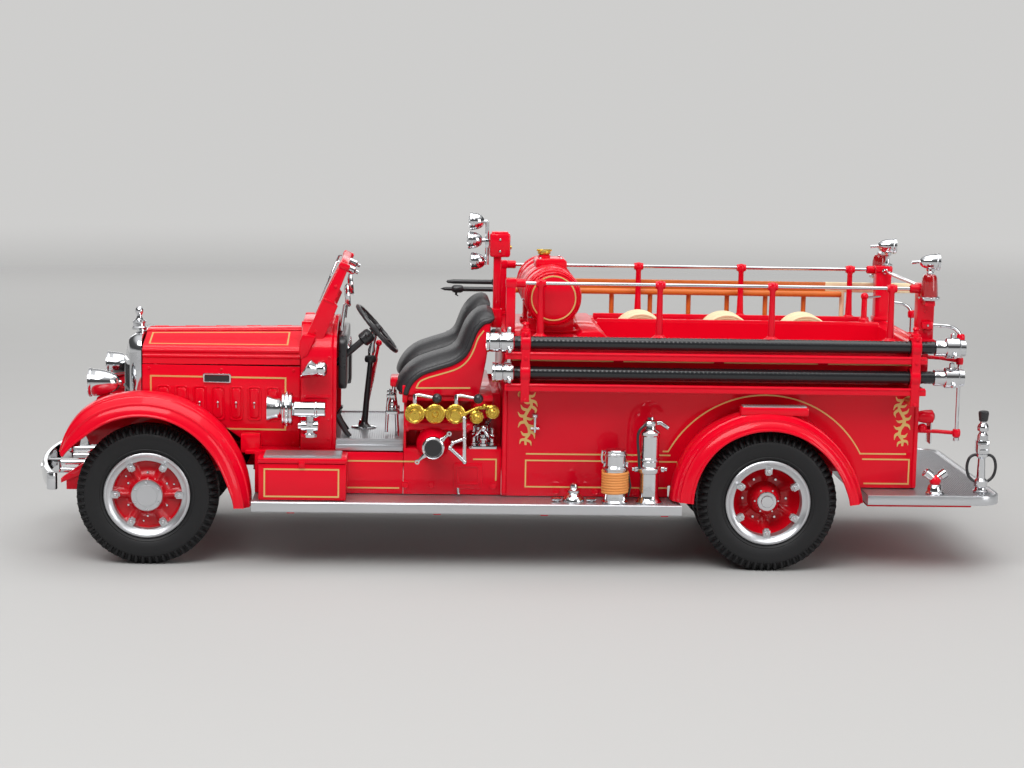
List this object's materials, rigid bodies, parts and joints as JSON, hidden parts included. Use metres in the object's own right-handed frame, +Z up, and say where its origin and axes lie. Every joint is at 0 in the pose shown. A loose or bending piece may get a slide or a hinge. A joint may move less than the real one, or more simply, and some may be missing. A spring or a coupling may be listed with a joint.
{
  "type": "model fire engine",
  "caption": "Small-scale model fire engine with open cab, pump, hose bed, ladder and suction hoses; wheels roll, front wheels steer, hood lids lift.",
  "frame": {"origin": "on the ground, under the middle of the bounding box", "axes": "+X towards the front bumper, +Y towards the model's left side, +Z up"},
  "size_m": [0.292, 0.091, 0.1044],
  "materials": {
    "red_paint": "gloss enamel with thin gold lines",
    "chrome": "bright plated",
    "black_metal": "satin",
    "black_plastic": "satin moulded",
    "seat_vinyl": "soft satin grain",
    "brass": "bright gold plated",
    "hose_canvas": "matte cream, ribbed",
    "ladder_wood": "wood-coloured, satin",
    "red_lens": "clear red",
    "clear_glass": "clear",
    "tyre_rubber": "matte"
  },
  "bodies": {
    "chassis": {"chassis_frame": "red_paint", "front_axle": "black_metal", "leaf_springs": "black_metal", "rear_axle": "black_metal", "drivetrain": "black_metal", "exhaust": "black_metal", "engine": "black_metal", "radiator_shell": "chrome", "radiator_grille": "black_plastic", "hood_sides": "red_paint", "cowl": "red_paint", "windshield_frame": "red_paint", "windshield_glass": "clear_glass", "front_fenders": "red_paint", "rear_fenders": "red_paint", "running_boards": "chrome", "toolboxes": "red_paint", "front_bumper": "chrome", "front_lamps": "chrome", "siren": "chrome", "cab_floor": "red_paint", "steering_column": "black_plastic", "floor_controls": "black_plastic", "seat_frames": "red_paint", "seat_cushions": "seat_vinyl", "pump_housing": "red_paint", "pump_valves": "brass", "pump_controls": "chrome", "suction_cap": "chrome", "rear_body": "red_paint", "booster_tank": "red_paint", "hose_rolls": "hose_canvas", "hand_rails": "chrome", "rail_stanchions": "red_paint", "suction_hoses": "black_plastic", "hose_couplings": "chrome", "hose_brackets": "red_paint", "ladder": "ladder_wood", "pike_pole": "black_plastic", "rear_posts": "red_paint", "warning_lamps": "red_lens", "spotlights": "chrome", "rear_step": "chrome", "extinguishers": "chrome", "hose_fittings": "chrome", "lamp_mast": "red_paint"},
    "hood_left": {"hood_left": "red_paint"},
    "hood_right": {"hood_right": "red_paint"},
    "steering_wheel": {"steering_wheel": "black_plastic"},
    "front_left_knuckle": {"front_left_knuckle": "black_metal"},
    "front_right_knuckle": {"front_right_knuckle": "black_metal"},
    "tie_rod": {"tie_rod": "black_metal"},
    "front_left_road_wheel": {"front_left_tyre": "tyre_rubber", "front_left_wheel": "red_paint"},
    "front_right_road_wheel": {"front_right_tyre": "tyre_rubber", "front_right_wheel": "red_paint"},
    "rear_left_road_wheels": {"rear_left_tyres": "tyre_rubber", "rear_left_wheel": "red_paint"},
    "rear_right_road_wheels": {"rear_right_tyres": "tyre_rubber", "rear_right_wheel": "red_paint"}
  },
  "joints": [
    {"name": "front_left_steer", "type": "hinge", "parent": "chassis", "child": "front_left_knuckle", "pos_m": [0.1102, 0.0265, 0.021], "axis": [0, 0, 1], "range_deg": [-28, 28]},
    {"name": "front_right_steer", "type": "hinge", "parent": "chassis", "child": "front_right_knuckle", "pos_m": [0.1102, -0.0265, 0.021], "axis": [0, 0, 1], "range_deg": [-28, 28]},
    {"name": "tie_rod_slide", "type": "slide", "parent": "chassis", "child": "tie_rod", "axis": [0, 1, 0], "range_m": [-0.004, 0.004]},
    {"name": "steering_wheel_turn", "type": "hinge", "parent": "chassis", "child": "steering_wheel", "pos_m": [0.0428, 0.017, 0.0692], "axis": [-0.7547, 0, 0.6561], "range_deg": [-112, 112]},
    {"name": "hood_left_hinge", "type": "hinge", "parent": "chassis", "child": "hood_left", "pos_m": [0.0655, 0.005, 0.067], "axis": [0.9999, 0, -0.0164], "range_deg": [0, 75]},
    {"name": "hood_right_hinge", "type": "hinge", "parent": "chassis", "child": "hood_right", "pos_m": [0.0655, -0.005, 0.067], "axis": [-0.9999, 0, 0.0164], "range_deg": [0, 75]},
    {"name": "front_left_spin", "type": "hinge", "parent": "front_left_knuckle", "child": "front_left_road_wheel", "pos_m": [0.1102, 0.036, 0.021], "axis": [0, 1, 0], "continuous": true},
    {"name": "front_right_spin", "type": "hinge", "parent": "front_right_knuckle", "child": "front_right_road_wheel", "pos_m": [0.1102, -0.036, 0.021], "axis": [0, 1, 0], "continuous": true},
    {"name": "rear_left_spin", "type": "hinge", "parent": "chassis", "child": "rear_left_road_wheels", "pos_m": [-0.0752, 0.032, 0.021], "axis": [0, 1, 0], "continuous": true},
    {"name": "rear_right_spin", "type": "hinge", "parent": "chassis", "child": "rear_right_road_wheels", "pos_m": [-0.0752, -0.032, 0.021], "axis": [0, 1, 0], "continuous": true}
  ],
  "couplings": [
    {"joint": "front_right_steer", "follows": "front_left_steer", "ratio": 1},
    {"joint": "steering_wheel_turn", "follows": "front_left_steer", "ratio": 4},
    {"joint": "tie_rod_slide", "follows": "front_left_steer", "m_per_rad": -0.008}
  ]
}
